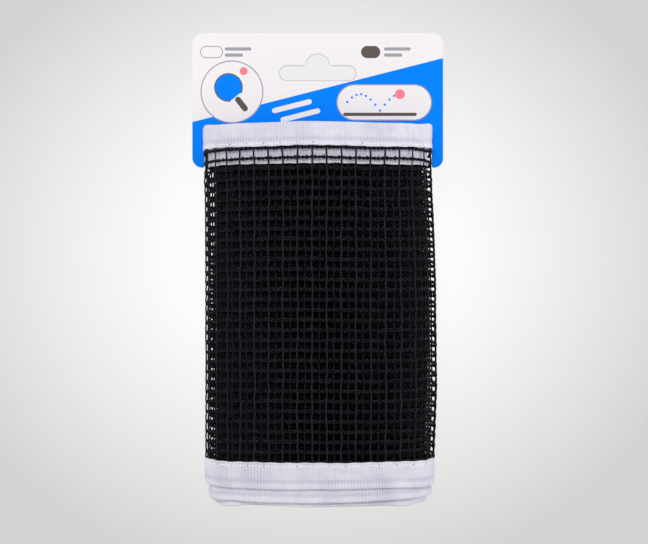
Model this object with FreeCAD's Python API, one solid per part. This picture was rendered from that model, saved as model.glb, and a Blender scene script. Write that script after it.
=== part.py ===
"""Spare table tennis net, wound flat round the tongue of a retail hang card.

The net is one long strip: black netting with white tape folded over both long edges and a
fabric sleeve for the net post at each end. It is wound flat from the inside out, so a turn is a
front run, a half turn at one end of the roll, a back run and a half turn at the other end. The
outermost turn stands highest, and the turns inside it have slipped down in two steps.

The card is one flat die-cut sheet. Its tongue goes down the core of the roll, its two ears hang
outside the roll's ends, and the turns pass through the notches between ears and tongue. The card
pulls straight out of the roll, along +Y.

Frame: X is the roll's width, Y is the net's height with the card's hang hole at +Y, and Z is up
from the flat back on which the roll lies. Lengths are millimetres.
"""

import math
import os

import FreeCAD
import Part

V = FreeCAD.Vector

# The strip. Its tape is drawn as one band, as thick as its two plies and the netting's edge
# between them, and the open netting stops where the tape starts.
NET_HEIGHT = 152.5
TAPE_WIDTH_TOP = 10.3
TAPE_WIDTH_BOTTOM = 11.0
CLOTH_PLY = 0.35
NETTING_THICKNESS = 0.5
SEAM_CLEARANCE = 0.02

# The end sleeves
SLEEVE_POCKET = 20.0
SLEEVE_SEAM = 8.0
SLEEVE_TO_TAPE = 0.1

# The winding
HALF_TURNS = 20
ROLL_WIDTH = 96.4
ROLL_CENTRE_X = 0.2
TURN_GAP = 0.66
INNER_SLEEVE_TO_TURN = 22.0
OUTER_SLEEVE_TO_TURN = 0.3
SECOND_TURN_DOWN = 6.3
INNER_TURNS_FURTHER_DOWN = 1.6

# The openings drawn in the front run of the netting
MESH_COLUMNS = 7
MESH_ROWS = 21
MESH_ROW_THREAD = 1.2
MESH_COLUMN_THREAD = 0.9

# The card
CARD_WIDTH = 107.0
CARD_THICKNESS = 0.6
CARD_ABOVE_ROLL = 39.5
CARD_TOP_CORNER_R = 4.7
EAR_LENGTH = 17.9
EAR_CORNER_R = 5.0
TONGUE_WIDTH = 56.0
TONGUE_LENGTH = 118.0
TONGUE_CORNER_R = 8.0
NOTCH_CORNER_R = 1.5
CARD_CLEARANCE = 0.3

# The hang hole
HANG_SLOT_WIDTH = 32.4
HANG_SLOT_HEIGHT = 6.0
HANG_SLOT_BELOW_TOP = 20.0
HANG_BUMP_R = 5.0
HANG_FILLET_R = 1.5

# How far a cutting solid runs past what it cuts
PAST = 2.0

# Sizes that follow from those above
TAPE_HALF = CLOTH_PLY + SEAM_CLEARANCE + NETTING_THICKNESS / 2
PITCH = 2 * TAPE_HALF + TURN_GAP
FIRST_RADIUS = CARD_THICKNESS / 2 + CARD_CLEARANCE + TAPE_HALF
LAST_RADIUS = FIRST_RADIUS + (HALF_TURNS - 1) * PITCH / 2
RUN = ROLL_WIDTH - 2 * LAST_RADIUS + PITCH / 2 - 2 * TAPE_HALF
RUN_CENTRE_X = ROLL_CENTRE_X - PITCH / 4
INNER_RUN = RUN - SLEEVE_POCKET - INNER_SLEEVE_TO_TURN
OUTER_RUN = RUN - SLEEVE_POCKET - OUTER_SLEEVE_TO_TURN
ROLL_LEFT = ROLL_CENTRE_X - ROLL_WIDTH / 2
ROLL_RIGHT = ROLL_CENTRE_X + ROLL_WIDTH / 2
STEP_TOTAL = SECOND_TURN_DOWN + INNER_TURNS_FURTHER_DOWN

# The last run lies at Z = 0. The half turns at the two ends have their centres half a pitch apart.
RIGHT_CENTRE_Z = LAST_RADIUS + TAPE_HALF
LEFT_CENTRE_Z = RIGHT_CENTRE_Z + PITCH / 2
CARD_Z = LEFT_CENTRE_Z

# The origin is the middle of the part's own height along Y.
WHOLE_HEIGHT = CARD_ABOVE_ROLL + NET_HEIGHT + STEP_TOTAL
CARD_TOP = WHOLE_HEIGHT / 2
NET_TOP = CARD_TOP - CARD_ABOVE_ROLL
NET_BOTTOM = NET_TOP - NET_HEIGHT


def run_radius(index):
    """Radius of the half turn that follows run number index, measured to the strip's middle."""
    return FIRST_RADIUS + index * PITCH / 2


def is_front(index):
    """Runs alternate from the back, where the strip starts, to the front."""
    return index % 2 == 1


def turn_centre_z(index):
    """Half turns alternate too: the first is at the left end, the next at the right end."""
    return RIGHT_CENTRE_Z if is_front(index) else LEFT_CENTRE_Z


def run_z(index):
    """Height of the strip's middle in a run. The last run follows the last half turn."""
    turn = min(index, HALF_TURNS - 1)
    side = 1 if is_front(index) else -1
    return turn_centre_z(turn) + side * run_radius(turn)


def step(index):
    """How far a run has stepped down. The runs of the outermost turn haven't."""
    turns_from_outside = (HALF_TURNS - index) // 2
    if turns_from_outside == 0:
        return 0.0
    return -SECOND_TURN_DOWN if turns_from_outside == 1 else -STEP_TOTAL


def run_ends(index, cut_back=0.0):
    """Lowest and highest X of a run. The strip's two ends may be cut back by a length."""
    left, right = RUN_CENTRE_X - RUN / 2, RUN_CENTRE_X + RUN / 2
    if index == 0:
        return left, left + INNER_RUN - cut_back
    if index == HALF_TURNS:
        return right - OUTER_RUN + cut_back, right
    return left, right


def block(x, y, z):
    """Box between two X, two Y and two Z values."""
    corner = V(min(x), min(y), min(z))
    return Part.makeBox(abs(x[1] - x[0]), abs(y[1] - y[0]), abs(z[1] - z[0]), corner)


def run_solid(index, half, low, high, cut_back):
    """Flat stretch of a wound band that is half a thickness each side of the strip's middle."""
    z, down = run_z(index), step(index)
    return block(run_ends(index, cut_back), [low + down, high + down], [z - half, z + half])


def turn_region(index, low, high):
    """Space beyond a run's end, between two edges that step from one run to the next with height."""
    back, front = sorted((index, index + 1), key=run_z)
    z_back, z_front = run_z(back), run_z(front)
    rise = [
        (z_back - PAST, step(back)),
        (z_back + TAPE_HALF, step(back)),
        (z_front - TAPE_HALF, step(front)),
        (z_front + PAST, step(front)),
    ]
    if step(back) == step(front):
        rise = [rise[0], rise[-1]]
    outward = 1 if is_front(index) else -1
    x = RUN_CENTRE_X + outward * RUN / 2
    edges = [(z, low + y) for z, y in rise] + [(z, high + y) for z, y in reversed(rise)]
    points = [V(x, y, z) for z, y in edges]
    return Part.Face(Part.makePolygon(points + points[:1])).extrude(V(outward * ROLL_WIDTH, 0, 0))


def turn_solid(index, half, low, high):
    """Half turn of a wound band at one end of the roll, between run index and the next."""
    outward = 1 if is_front(index) else -1
    lowest, tall = low - STEP_TOTAL - PAST, high - low + STEP_TOTAL + 2 * PAST
    base = V(RUN_CENTRE_X + outward * RUN / 2, lowest, turn_centre_z(index))
    across = V(0, 1, 0)
    ring = Part.makeCylinder(run_radius(index) + half, tall, base, across)
    ring = ring.cut(Part.makeCylinder(run_radius(index) - half, tall, base, across))
    return ring.common(turn_region(index, low, high))


def wound_band(half, low, high, cut_back=0.0):
    """Every run and half turn of a band, from the inside of the roll out, as separate solids."""
    pieces = []
    for index in range(HALF_TURNS + 1):
        pieces.append(run_solid(index, half, low, high, cut_back))
        if index < HALF_TURNS:
            pieces.append(turn_solid(index, half, low, high))
    return pieces


def one_solid(pieces):
    """Pieces that meet face to face, fused into one solid."""
    whole = pieces[0].multiFuse(pieces[1:]).removeSplitter()
    return whole.Solids[0] if len(whole.Solids) == 1 else whole


def netting():
    """The netting strip, with its mesh cut through the outermost front run."""
    low = NET_BOTTOM + TAPE_WIDTH_BOTTOM + SEAM_CLEARANCE
    high = NET_TOP - TAPE_WIDTH_TOP - SEAM_CLEARANCE
    pieces = wound_band(NETTING_THICKNESS / 2, low, high)
    front = HALF_TURNS - 1
    pieces[2 * front] = meshed_run(front, low, high)
    return one_solid(pieces)


def meshed_run(index, low, high):
    """Front run of the netting as one face with rows and columns of openings."""
    left, right = run_ends(index)
    z = run_z(index) - NETTING_THICKNESS / 2
    across = (right - left) / MESH_COLUMNS
    up = (high - low) / MESH_ROWS
    wires = [rectangle(left, right, low, high, z)]
    for column in range(MESH_COLUMNS):
        for row in range(MESH_ROWS):
            x = left + column * across + MESH_COLUMN_THREAD / 2
            y = low + row * up + MESH_ROW_THREAD / 2
            opening = rectangle(x, x + across - MESH_COLUMN_THREAD, y, y + up - MESH_ROW_THREAD, z)
            wires.append(opening)
    return Part.Face(wires, "Part::FaceMakerBullseye").extrude(V(0, 0, NETTING_THICKNESS))


def rectangle(left, right, low, high, z):
    """Closed wire of a level rectangle."""
    corners = [V(left, low, z), V(right, low, z), V(right, high, z), V(left, high, z)]
    return Part.makePolygon(corners + corners[:1])


def folded_tape(low, high):
    """Tape folded over one edge of the net, wound with it."""
    return one_solid(wound_band(TAPE_HALF, low, high, SLEEVE_SEAM + SLEEVE_TO_TAPE))


def top_tape():
    """White tape over the net's top edge."""
    return folded_tape(NET_TOP - TAPE_WIDTH_TOP, NET_TOP)


def bottom_tape():
    """White tape over the net's bottom edge."""
    return folded_tape(NET_BOTTOM, NET_BOTTOM + TAPE_WIDTH_BOTTOM)


def end_sleeve(index, seam_x, away):
    """Flat sleeve for a net post: two plies that hold the netting's end, closed at the far fold."""
    z = run_z(index)
    y = [NET_BOTTOM + step(index), NET_TOP + step(index)]
    mouth = seam_x - away * SLEEVE_SEAM
    fold = seam_x + away * SLEEVE_POCKET
    outside = block([mouth, fold], y, [z - TAPE_HALF, z + TAPE_HALF])
    pocket_half = TAPE_HALF - CLOTH_PLY
    pocket_x = [mouth - away * PAST, fold - away * CLOTH_PLY]
    pocket_y = [y[0] - PAST, y[1] + PAST]
    return outside.cut(block(pocket_x, pocket_y, [z - pocket_half, z + pocket_half]))


def inner_end_sleeve():
    """Sleeve at the strip's inner end, in the core of the roll behind the card's tongue."""
    return end_sleeve(0, run_ends(0)[1], 1)


def outer_end_sleeve():
    """Sleeve at the strip's outer end, on the back of the roll."""
    return end_sleeve(HALF_TURNS, run_ends(HALF_TURNS)[0], -1)


def corner_arc(before, corner, after, radius):
    """Points where a fillet of a right-angled corner starts, bows and ends."""
    into, out = (corner - before).normalize(), (after - corner).normalize()
    start, end = corner - into * radius, corner + out * radius
    centre = start + out * radius
    middle = centre + (corner - centre).normalize() * radius
    return start, middle, end


def rounded_outline(corners):
    """Closed wire through right-angled corners, each given as a point and its fillet's radius."""
    count = len(corners)
    arcs = []
    for i in range(count):
        before, after = corners[i - 1][0], corners[(i + 1) % count][0]
        arcs.append(corner_arc(before, corners[i][0], after, corners[i][1]))
    edges = []
    for i in range(count):
        start, middle, end = arcs[i]
        edges.append(Part.Arc(start, middle, end).toShape())
        edges.append(Part.LineSegment(end, arcs[(i + 1) % count][0]).toShape())
    return Part.Wire(edges)


def hang_card():
    """Die-cut card with its hang hole, ears, notches and tongue."""
    z = CARD_Z - CARD_THICKNESS / 2
    ear_x = CARD_WIDTH / 2
    roof = NET_TOP + CARD_CLEARANCE
    ear_low = NET_TOP - EAR_LENGTH
    tongue_low = NET_TOP - TONGUE_LENGTH
    tongue_left, tongue_right = RUN_CENTRE_X - TONGUE_WIDTH / 2, RUN_CENTRE_X + TONGUE_WIDTH / 2
    notch_left, notch_right = ROLL_LEFT - CARD_CLEARANCE, ROLL_RIGHT + CARD_CLEARANCE
    ear_inner_r = NOTCH_CORNER_R / 2
    # Small enough to clear the roll's own corner, which stands the clearance away from both walls.
    roll_corner_r = 2 * CARD_CLEARANCE
    corners = [
        (V(-ear_x, CARD_TOP, z), CARD_TOP_CORNER_R),
        (V(ear_x, CARD_TOP, z), CARD_TOP_CORNER_R),
        (V(ear_x, ear_low, z), ear_width_radius(ear_x - notch_right, ear_inner_r)),
        (V(notch_right, ear_low, z), ear_inner_r),
        (V(notch_right, roof, z), roll_corner_r),
        (V(tongue_right, roof, z), NOTCH_CORNER_R),
        (V(tongue_right, tongue_low, z), TONGUE_CORNER_R),
        (V(tongue_left, tongue_low, z), TONGUE_CORNER_R),
        (V(tongue_left, roof, z), NOTCH_CORNER_R),
        (V(notch_left, roof, z), roll_corner_r),
        (V(notch_left, ear_low, z), ear_inner_r),
        (V(-ear_x, ear_low, z), ear_width_radius(notch_left + ear_x, ear_inner_r)),
    ]
    sheet = Part.Face(rounded_outline(corners)).extrude(V(0, 0, CARD_THICKNESS))
    return sheet.cut(hang_hole())


def ear_width_radius(width, inner_r):
    """Outer corner of an ear, limited by the ear's width."""
    return min(EAR_CORNER_R, 0.95 * (width - inner_r))


def hang_hole():
    """Cutter for the hang hole: a slot with round ends and a round bump over its middle."""
    z = CARD_Z - CARD_THICKNESS / 2 - PAST
    up = V(0, 0, CARD_THICKNESS + 2 * PAST)
    low = CARD_TOP - HANG_SLOT_BELOW_TOP
    high = low + HANG_SLOT_HEIGHT
    end_r = HANG_SLOT_HEIGHT / 2
    side = HANG_SLOT_WIDTH / 2
    mid = (low + high) / 2

    # A fillet touches the slot's upper edge at foot, and the bump's arc at touch.
    centres_apart = HANG_BUMP_R + HANG_FILLET_R
    foot = math.sqrt(centres_apart**2 - HANG_FILLET_R**2)
    to_bump = HANG_BUMP_R / centres_apart
    touch = foot * to_bump, high + HANG_FILLET_R * to_bump
    towards = math.radians(270) - 0.5 * math.acos(HANG_FILLET_R / centres_apart)
    bow_x = foot + HANG_FILLET_R * math.cos(towards)
    bow_y = high + HANG_FILLET_R * (1 + math.sin(towards))
    edges = []

    def arc(*points):
        edges.append(Part.Arc(*[V(x, y, z) for x, y in points]).toShape())

    def line(*points):
        edges.append(Part.LineSegment(*[V(x, y, z) for x, y in points]).toShape())

    line((end_r - side, low), (side - end_r, low))
    arc((side - end_r, low), (side, mid), (side - end_r, high))
    line((side - end_r, high), (foot, high))
    arc((foot, high), (bow_x, bow_y), touch)
    arc(touch, (0, high + HANG_BUMP_R), (-touch[0], touch[1]))
    arc((-touch[0], touch[1]), (-bow_x, bow_y), (-foot, high))
    line((-foot, high), (end_r - side, high))
    arc((end_r - side, high), (-side, mid), (end_r - side, low))
    return Part.Face(Part.Wire(edges)).extrude(up)


def net_length():
    """Length of the whole strip along its middle, with both sleeves."""
    arcs = sum(math.pi * run_radius(i) for i in range(HALF_TURNS))
    runs = INNER_RUN + OUTER_RUN + (HALF_TURNS - 1) * RUN
    return arcs + runs + 2 * SLEEVE_POCKET


def turn_points(index, offset):
    """Points on a half turn, at an offset from the strip's middle."""
    outward = 1 if is_front(index) else -1
    end_x = RUN_CENTRE_X + outward * RUN / 2
    radius = run_radius(index) + offset
    points = []
    for degrees in range(0, 181, 10):
        angle = math.radians(degrees)
        x = end_x + outward * radius * math.sin(angle)
        points.append(V(x, 0, turn_centre_z(index) + radius * math.cos(angle)))
    return points


def least_turn_gap():
    """Least distance, on those points, from a turn's outer face to the inner face of the next."""
    least = PITCH
    for index in range(HALF_TURNS - 2):
        faces = turn_points(index, TAPE_HALF), turn_points(index + 2, -TAPE_HALF)
        least = min(least, min(p.distanceToPoint(q) for p in faces[0] for q in faces[1]))
    return least


NODES = {
    "hang_card": hang_card,
    "netting": netting,
    "top_tape": top_tape,
    "bottom_tape": bottom_tape,
    "inner_end_sleeve": inner_end_sleeve,
    "outer_end_sleeve": outer_end_sleeve,
}


def main():
    os.makedirs("parts", exist_ok=True)
    for name, make in NODES.items():
        shape = make()
        shape.exportStep(f"parts/{name}.step")
        box = shape.BoundBox
        print(f"{name}: {len(shape.Solids)} solid, {shape.Volume:.1f} mm3, valid {shape.isValid()}")
        print(f"  X {box.XMin:.2f} to {box.XMax:.2f}, Y {box.YMin:.2f} to {box.YMax:.2f}")
        print(f"  Z {box.ZMin:.2f} to {box.ZMax:.2f}")
    print(f"net length {net_length():.0f} mm, least gap between turns {least_turn_gap():.2f} mm")


main()
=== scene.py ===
import math

import bmesh
import bpy
import numpy as np
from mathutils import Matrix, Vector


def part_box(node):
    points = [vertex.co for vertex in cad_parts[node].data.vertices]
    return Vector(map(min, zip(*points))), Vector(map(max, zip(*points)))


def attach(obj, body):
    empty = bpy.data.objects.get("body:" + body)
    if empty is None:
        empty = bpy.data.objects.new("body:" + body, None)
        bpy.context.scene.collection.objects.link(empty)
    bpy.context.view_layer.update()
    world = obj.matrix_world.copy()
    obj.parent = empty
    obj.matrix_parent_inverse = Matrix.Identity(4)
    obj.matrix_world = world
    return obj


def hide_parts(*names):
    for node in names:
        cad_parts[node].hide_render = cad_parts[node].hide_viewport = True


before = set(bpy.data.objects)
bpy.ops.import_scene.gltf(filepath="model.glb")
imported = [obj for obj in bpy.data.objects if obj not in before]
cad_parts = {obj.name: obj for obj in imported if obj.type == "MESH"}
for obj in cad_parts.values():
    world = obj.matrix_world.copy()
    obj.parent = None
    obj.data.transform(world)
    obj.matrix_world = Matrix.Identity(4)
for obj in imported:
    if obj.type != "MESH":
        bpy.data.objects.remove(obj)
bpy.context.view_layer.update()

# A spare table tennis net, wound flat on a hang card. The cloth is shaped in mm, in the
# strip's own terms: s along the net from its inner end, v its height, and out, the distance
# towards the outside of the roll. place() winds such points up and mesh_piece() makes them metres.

MM = 0.001

def node_box(*nodes):
    """Lowest and highest corner of some CAD nodes together, in mm."""
    lows, highs = zip(*(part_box(node) for node in nodes))
    return np.min(lows, axis=0) / MM, np.max(highs, axis=0) / MM

# The winding, from the frame's boxes and the strip's own sizes
HALF_TURNS = 20
TAPE_HALF = 0.62
FIRST_RADIUS = 1.22
NET_HEIGHT = 152.5
SECOND_TURN_DOWN = 6.3
SLEEVE_POCKET = 20
SLEEVE_SEAM = 8

ROLL_LOW, ROLL_HIGH = node_box("top_tape", "bottom_tape")
CARD_LOW, CARD_HIGH = node_box("hang_card")
INNER_SLEEVE_LOW, INNER_SLEEVE_HIGH = node_box("inner_end_sleeve")
OUTER_SLEEVE_LOW, OUTER_SLEEVE_HIGH = node_box("outer_end_sleeve")

NET_TOP = ROLL_HIGH[1]
NET_BOTTOM = NET_TOP - NET_HEIGHT
INNER_TURNS_DOWN = NET_BOTTOM - ROLL_LOW[1]
LAST_RADIUS = ROLL_HIGH[2] / 2 - TAPE_HALF
PITCH = 2 * (LAST_RADIUS - FIRST_RADIUS) / (HALF_TURNS - 1)
RIGHT_CENTRE_Z = LAST_RADIUS + TAPE_HALF
LEFT_CENTRE_Z = RIGHT_CENTRE_Z + PITCH / 2
CARD_MIDDLE_Z = (CARD_LOW[2] + CARD_HIGH[2]) / 2
EAR_FOOT_Y = 42.55
RUN_LEFT = ROLL_LOW[0] + LAST_RADIUS - PITCH / 2 + TAPE_HALF
RUN_RIGHT = ROLL_HIGH[0] - LAST_RADIUS - TAPE_HALF
RUN = RUN_RIGHT - RUN_LEFT
ROLL_MIDDLE_X = (ROLL_LOW[0] + ROLL_HIGH[0]) / 2
INNER_RUN = INNER_SLEEVE_HIGH[0] - SLEEVE_POCKET - RUN_LEFT
OUTER_RUN = RUN_RIGHT - OUTER_SLEEVE_LOW[0] - SLEEVE_POCKET

# Runs and half turns in order, as lengths along the strip
LENGTHS = []
for half_turn in range(HALF_TURNS):
    LENGTHS += [RUN, math.pi * (FIRST_RADIUS + half_turn * PITCH / 2)]
LENGTHS.append(OUTER_RUN)
LENGTHS[0] = INNER_RUN
STARTS = np.concatenate([[0], np.cumsum(LENGTHS)])
STRIP_END = STARTS[-1]
# Anything shorter is a rounding error
LEAST_LENGTH = 1e-9

def run_start(index):
    """The s at which a run starts."""
    return STARTS[2 * index]

def turn_start(index):
    """The s at which the half turn after a run starts."""
    return STARTS[2 * index + 1]

def past(start, *steps):
    """Pairs of s and a value, from (distance past the start, value)."""
    return [(start + distance, value) for distance, value in steps]

# The odd runs are at the front, each from a bend at the left to one at the right.
FRONT_RUN = HALF_TURNS - 1
SECOND_RUN = HALF_TURNS - 3
THIRD_RUN = HALF_TURNS - 5
FRONT_BEND, SECOND_BEND = turn_start(FRONT_RUN - 1), turn_start(SECOND_RUN - 1)
FRONT_START, SECOND_START = run_start(FRONT_RUN), run_start(SECOND_RUN)
FRONT_END, SECOND_END = turn_start(FRONT_RUN), turn_start(SECOND_RUN)
HIDDEN_UP_TO = turn_start(SECOND_RUN - 2) + 12

# How the real roll differs from an even winding: a crowned front, a bulging lower right, rows that
# draw together at the ends, and layers that slip down. Bulges are pairs of Y and distance.
CROWN = 3
CROWN_REACH = 52
SLIP_REACH_TOP, SLIP_REACH_BOTTOM = 88, 46
SLIP_POWER = 4
DRAWN_IN = 0.0065
DRAWN_FROM, DRAWN_TO = 6, 34
BULGE_RIGHT = [
    (-98, 2.3), (-94, 2.5), (-92.3, 1.5), (-82, 1.8), (-50, 2.9), (-10, 2.5), (10, 1.9),
    (23, 1.4), (33, 0.8), (50, 0.75), (56, 0.6),
]
BULGE_LEFT = [
    (-98, 0.5), (-94, 0.7), (-92.3, 0.2), (-60, 0.1), (0, 0.15), (30, 0.35), (38, 0.8), (50, 1),
    (56, 0.9),
]
BULGE_REACH = 10
# A bulge starts this far off the card's plane, or below its ears
CLEAR_OF_CARD = 0.9, 3.6
BELOW_EARS = EAR_FOOT_Y - 5, EAR_FOOT_Y - 1
SECOND_TURN_RISE = 1.1
SECOND_TURN_RISEN = SECOND_START + 30, SECOND_END + 20
PRESSED, PRESSED_REACH, PRESSED_POWER = 0.45, 13, 1.5
EDGE_TUCK, EDGE_TUCK_REACH = 0.4, 2.2

# Uneven waves, each by its seed and wavelength. They fade in where the winding gets loose.
LOOSENS = turn_start(2), turn_start(9)
RIPPLE = 0.13
RIPPLE_ALONG, RIPPLE_ALONG_SKEW = (5, 31), 0.35
RIPPLE_UP, RIPPLE_UP_SKEW = (6, 47), 0.2
EDGE_WANDER, EDGE_WAVE = 0.16, (7, 58)

# The front turn's top corners stand out over the card's notches, one at each bend
CORNERS = [FRONT_BEND + 35.5, FRONT_END + 23.5]
CORNER_LIFT, CORNER_OUT, CORNER_LENGTH, CORNER_HEIGHT = 0.95, 0.35, 5.5, 16

# Buckles of the lower edge: where along the strip, how far down and how long
BUCKLES = [
    (run_start(THIRD_RUN) - 8, 0.8, 5),
    (run_start(THIRD_RUN) + 6, -0.5, 6),
    (turn_start(THIRD_RUN) + 6, 0.8, 3.5),
    (SECOND_START - 6, -0.5, 5),
    (FRONT_START + 12, 0.55, 38),
    (FRONT_END + 18, 0.9, 12),
]
BUCKLE_HEIGHT = 14

def smooth(x, start, end):
    """0 before start, 1 after end, and an even climb between."""
    t = np.clip((x - start) / (end - start), 0.0, 1.0)
    return t * t * (3 - 2 * t)

def hump(x, middle, width):
    """1 in the middle, and little beyond that width on each side."""
    return np.exp(-(((x - middle) / width) ** 2))

def waver(x, seed, wavelength, number=0):
    """A smooth uneven wave between about -1 and 1, the same whenever the script runs. The waves of
    a kind are told apart by number."""
    phases = np.random.default_rng(seed + number).uniform(0, math.tau, 3)
    waves = zip((0.5, 0.3, 0.2), (1.0, 1.618, 2.71), phases)
    return sum(
        share * np.sin(math.tau * rate * x / wavelength + phase) for share, rate, phase in waves
    )

def strip_path(s):
    """X and Z of the strip's middle, and X and Z of the way out of the roll."""
    part = np.clip(np.searchsorted(STARTS, s, side="right") - 1, 0, len(LENGTHS) - 1)
    index, turning = part // 2, part % 2 == 1
    along = s - STARTS[part]
    side = np.where(index % 2 == 1, 1.0, -1.0)
    turn = np.minimum(index, HALF_TURNS - 1)
    radius = FIRST_RADIUS + turn * PITCH / 2
    centre_z = np.where(turn % 2 == 1, RIGHT_CENTRE_Z, LEFT_CENTRE_Z)
    run_from = np.where(side > 0, RUN_LEFT, np.where(index == 0, RUN_LEFT + INNER_RUN, RUN_RIGHT))
    angle = np.where(turning, along / radius, 0.0)
    out_x, out_z = side * np.sin(angle), side * np.cos(angle)
    end_x = np.where(side > 0, RUN_RIGHT, RUN_LEFT)
    x = np.where(turning, end_x + radius * out_x, run_from + side * along)
    z = centre_z + radius * out_z
    return x, z, out_x, out_z

def slipped(s, v, turn, drop):
    """What a layer that follows a half turn still lacks of a climb by drop. Its bottom climbs first."""
    height = (v - NET_BOTTOM) / NET_HEIGHT
    reach = SLIP_REACH_BOTTOM + (SLIP_REACH_TOP - SLIP_REACH_BOTTOM) * height
    t = np.clip((s - turn_start(turn)) / reach, 0.0, 1.0)
    return -drop * (1 - t) ** SLIP_POWER

def step(s, v):
    """How far the strip has slipped, below 0 for down."""
    inner = slipped(s, v, SECOND_RUN - 1, INNER_TURNS_DOWN - SECOND_TURN_DOWN)
    rise = SECOND_TURN_RISE * (NET_TOP - v) / NET_HEIGHT
    risen = smooth(s, *SECOND_TURN_RISEN)
    return inner - rise * (1 - risen) + slipped(s, v, FRONT_RUN - 1, SECOND_TURN_DOWN - rise)

def warp(x, y, z):
    """Points of an even winding, moved to where the real roll has them."""
    off_middle = np.abs(x - ROLL_MIDDLE_X)
    above = np.clip(z - LEFT_CENTRE_Z, 0.0, None) / LAST_RADIUS
    z = z + CROWN * above * np.clip(1 - (off_middle / CROWN_REACH) ** 2, 0.0, 1.0)
    draw = 1 - DRAWN_IN * smooth(off_middle, DRAWN_FROM, DRAWN_TO)
    middle_y = (NET_TOP + NET_BOTTOM) / 2
    y = middle_y + (y - middle_y) * draw
    free = np.maximum(smooth(np.abs(z - CARD_MIDDLE_Z), *CLEAR_OF_CARD), 1 - smooth(y, *BELOW_EARS))
    right = np.interp(y, *zip(*BULGE_RIGHT)) * smooth(x, RUN_RIGHT - BULGE_REACH, ROLL_HIGH[0]) * free
    left = np.interp(y, *zip(*BULGE_LEFT)) * smooth(-x, -RUN_LEFT - BULGE_REACH, -ROLL_LOW[0]) * free
    return x + right - left, y, np.maximum(z, 0.0)

def place(s, v, out):
    """Points of the wound strip, in mm."""
    s, v, out = np.broadcast_arrays(s, v, out)
    x, z, out_x, out_z = strip_path(s)
    loose = smooth(s, *LOOSENS)
    ripple_along = waver(s + RIPPLE_ALONG_SKEW * v, *RIPPLE_ALONG)
    ripple_up = waver(v - RIPPLE_UP_SKEW * s, *RIPPLE_UP)
    out = out + RIPPLE * loose * ripple_along * ripple_up
    pressed = smooth(s, run_start(SECOND_RUN - 1), SECOND_BEND)
    pressed = pressed + smooth(s, run_start(FRONT_RUN - 1), FRONT_BEND)
    low_edge = np.clip(1 - (v - NET_BOTTOM) / PRESSED_REACH, 0.0, 1.0)
    out = out - PRESSED * pressed * out_z**2 * low_edge**PRESSED_POWER
    from_edge = np.minimum(NET_TOP - v, v - NET_BOTTOM)
    out = out - EDGE_TUCK * loose * out_x**2 * np.clip(1 - from_edge / EDGE_TUCK_REACH, 0.0, 1.0) ** 2
    y = v + step(s, v) + EDGE_WANDER * loose * waver(s, *EDGE_WAVE)
    near_top = np.clip(1 - (NET_TOP - v) / CORNER_HEIGHT, 0.0, 1.0)
    for at in CORNERS:
        lift = near_top * hump(s, at, CORNER_LENGTH)
        y, out = y + CORNER_LIFT * lift, out + CORNER_OUT * lift
    near_bottom = np.clip(1 - (v - NET_BOTTOM) / BUCKLE_HEIGHT, 0.0, 1.0)
    for at, down, length in BUCKLES:
        y = y - down * near_bottom * hump(s, at, length)
    return np.stack(warp(x + out_x * out, y, z + out_z * out), axis=-1)

def outward(s):
    """Unit directions out of the roll."""
    _, _, out_x, out_z = strip_path(s)
    return np.stack([out_x, np.zeros_like(out_x), out_z], axis=-1)

def stations(start, end, spacing, per_turn=10):
    """Values of s from start to end, at about that spacing and closer on tight turns."""
    marks = [start]
    for part, length in enumerate(LENGTHS):
        low, high = max(start, STARTS[part]), min(end, STARTS[part + 1])
        if high - low > LEAST_LENGTH:
            steps = math.ceil((high - low) / spacing)
            if part % 2 == 1:
                steps = max(steps, math.ceil(per_turn * (high - low) / length))
            marks += list(np.linspace(low, high, steps + 1)[1:])
    return np.array(marks)

# Meshes

# The share of a patch of the baked picture that stays free at each of its sides
BAKE_MARGIN = 0.02

def new_object(name, data):
    """A new object in the scene."""
    added = bpy.data.objects.new(name, data)
    bpy.context.scene.collection.objects.link(added)
    return added

def mesh_piece(name, points, faces, bake, materials, uv=None, next_from=None):
    """A mesh object from points in mm, riding on the roll. bake is one pair for each corner
    of a face, uv one for each point, and next_from the faces at which a new material begins."""
    mesh = bpy.data.meshes.new(name)
    mesh.from_pydata((np.asarray(points) * MM).tolist(), [], faces.tolist())
    mesh.polygons.foreach_set("use_smooth", np.ones(len(faces), bool))
    if uv is not None:
        corner = np.empty(len(mesh.loops), np.int32)
        mesh.loops.foreach_get("vertex_index", corner)
        mesh.uv_layers.new(name="strip").data.foreach_set("uv", uv[corner].astype(np.float32).ravel())
    mesh.uv_layers.new(name="OFBake").data.foreach_set("uv", bake.astype(np.float32).ravel())
    for material in materials:
        mesh.materials.append(material)
    if next_from is not None:
        index = np.searchsorted(next_from, np.arange(len(faces)), side="right")
        mesh.polygons.foreach_set("material_index", index.astype(np.int32))
    piece = new_object(name, mesh)
    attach(piece, "net_roll")
    return piece

def grid_faces(rows, columns):
    """Quads of a grid of rows of points, where each row is a closed ring."""
    row, column = np.meshgrid(np.arange(rows - 1), np.arange(columns), indexing="ij")
    after = (column + 1) % columns
    corners = [row * columns + column, row * columns + after]
    corners += [(row + 1) * columns + after, (row + 1) * columns + column]
    return np.stack(corners, axis=-1).reshape(-1, 4)

def bake_layout(rows, columns, bands=1):
    """Places in the baked picture for the corners of grid_faces, with the grid cut into bands that
    lie side by side."""
    row, column = np.meshgrid(np.arange(rows - 1), np.arange(columns), indexing="ij")
    band_rows = math.ceil((rows - 1) / bands)
    band = row // band_rows
    across = (column[..., None] + np.array([0, 1, 1, 0])) / columns
    along = (row[..., None] % band_rows + np.array([0, 0, 1, 1])) / band_rows
    u = (band[..., None] + BAKE_MARGIN + (1 - 2 * BAKE_MARGIN) * across) / bands
    v = BAKE_MARGIN + (1 - 2 * BAKE_MARGIN) * along
    return np.stack([u, v], axis=-1).reshape(-1, 4, 2)

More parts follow.
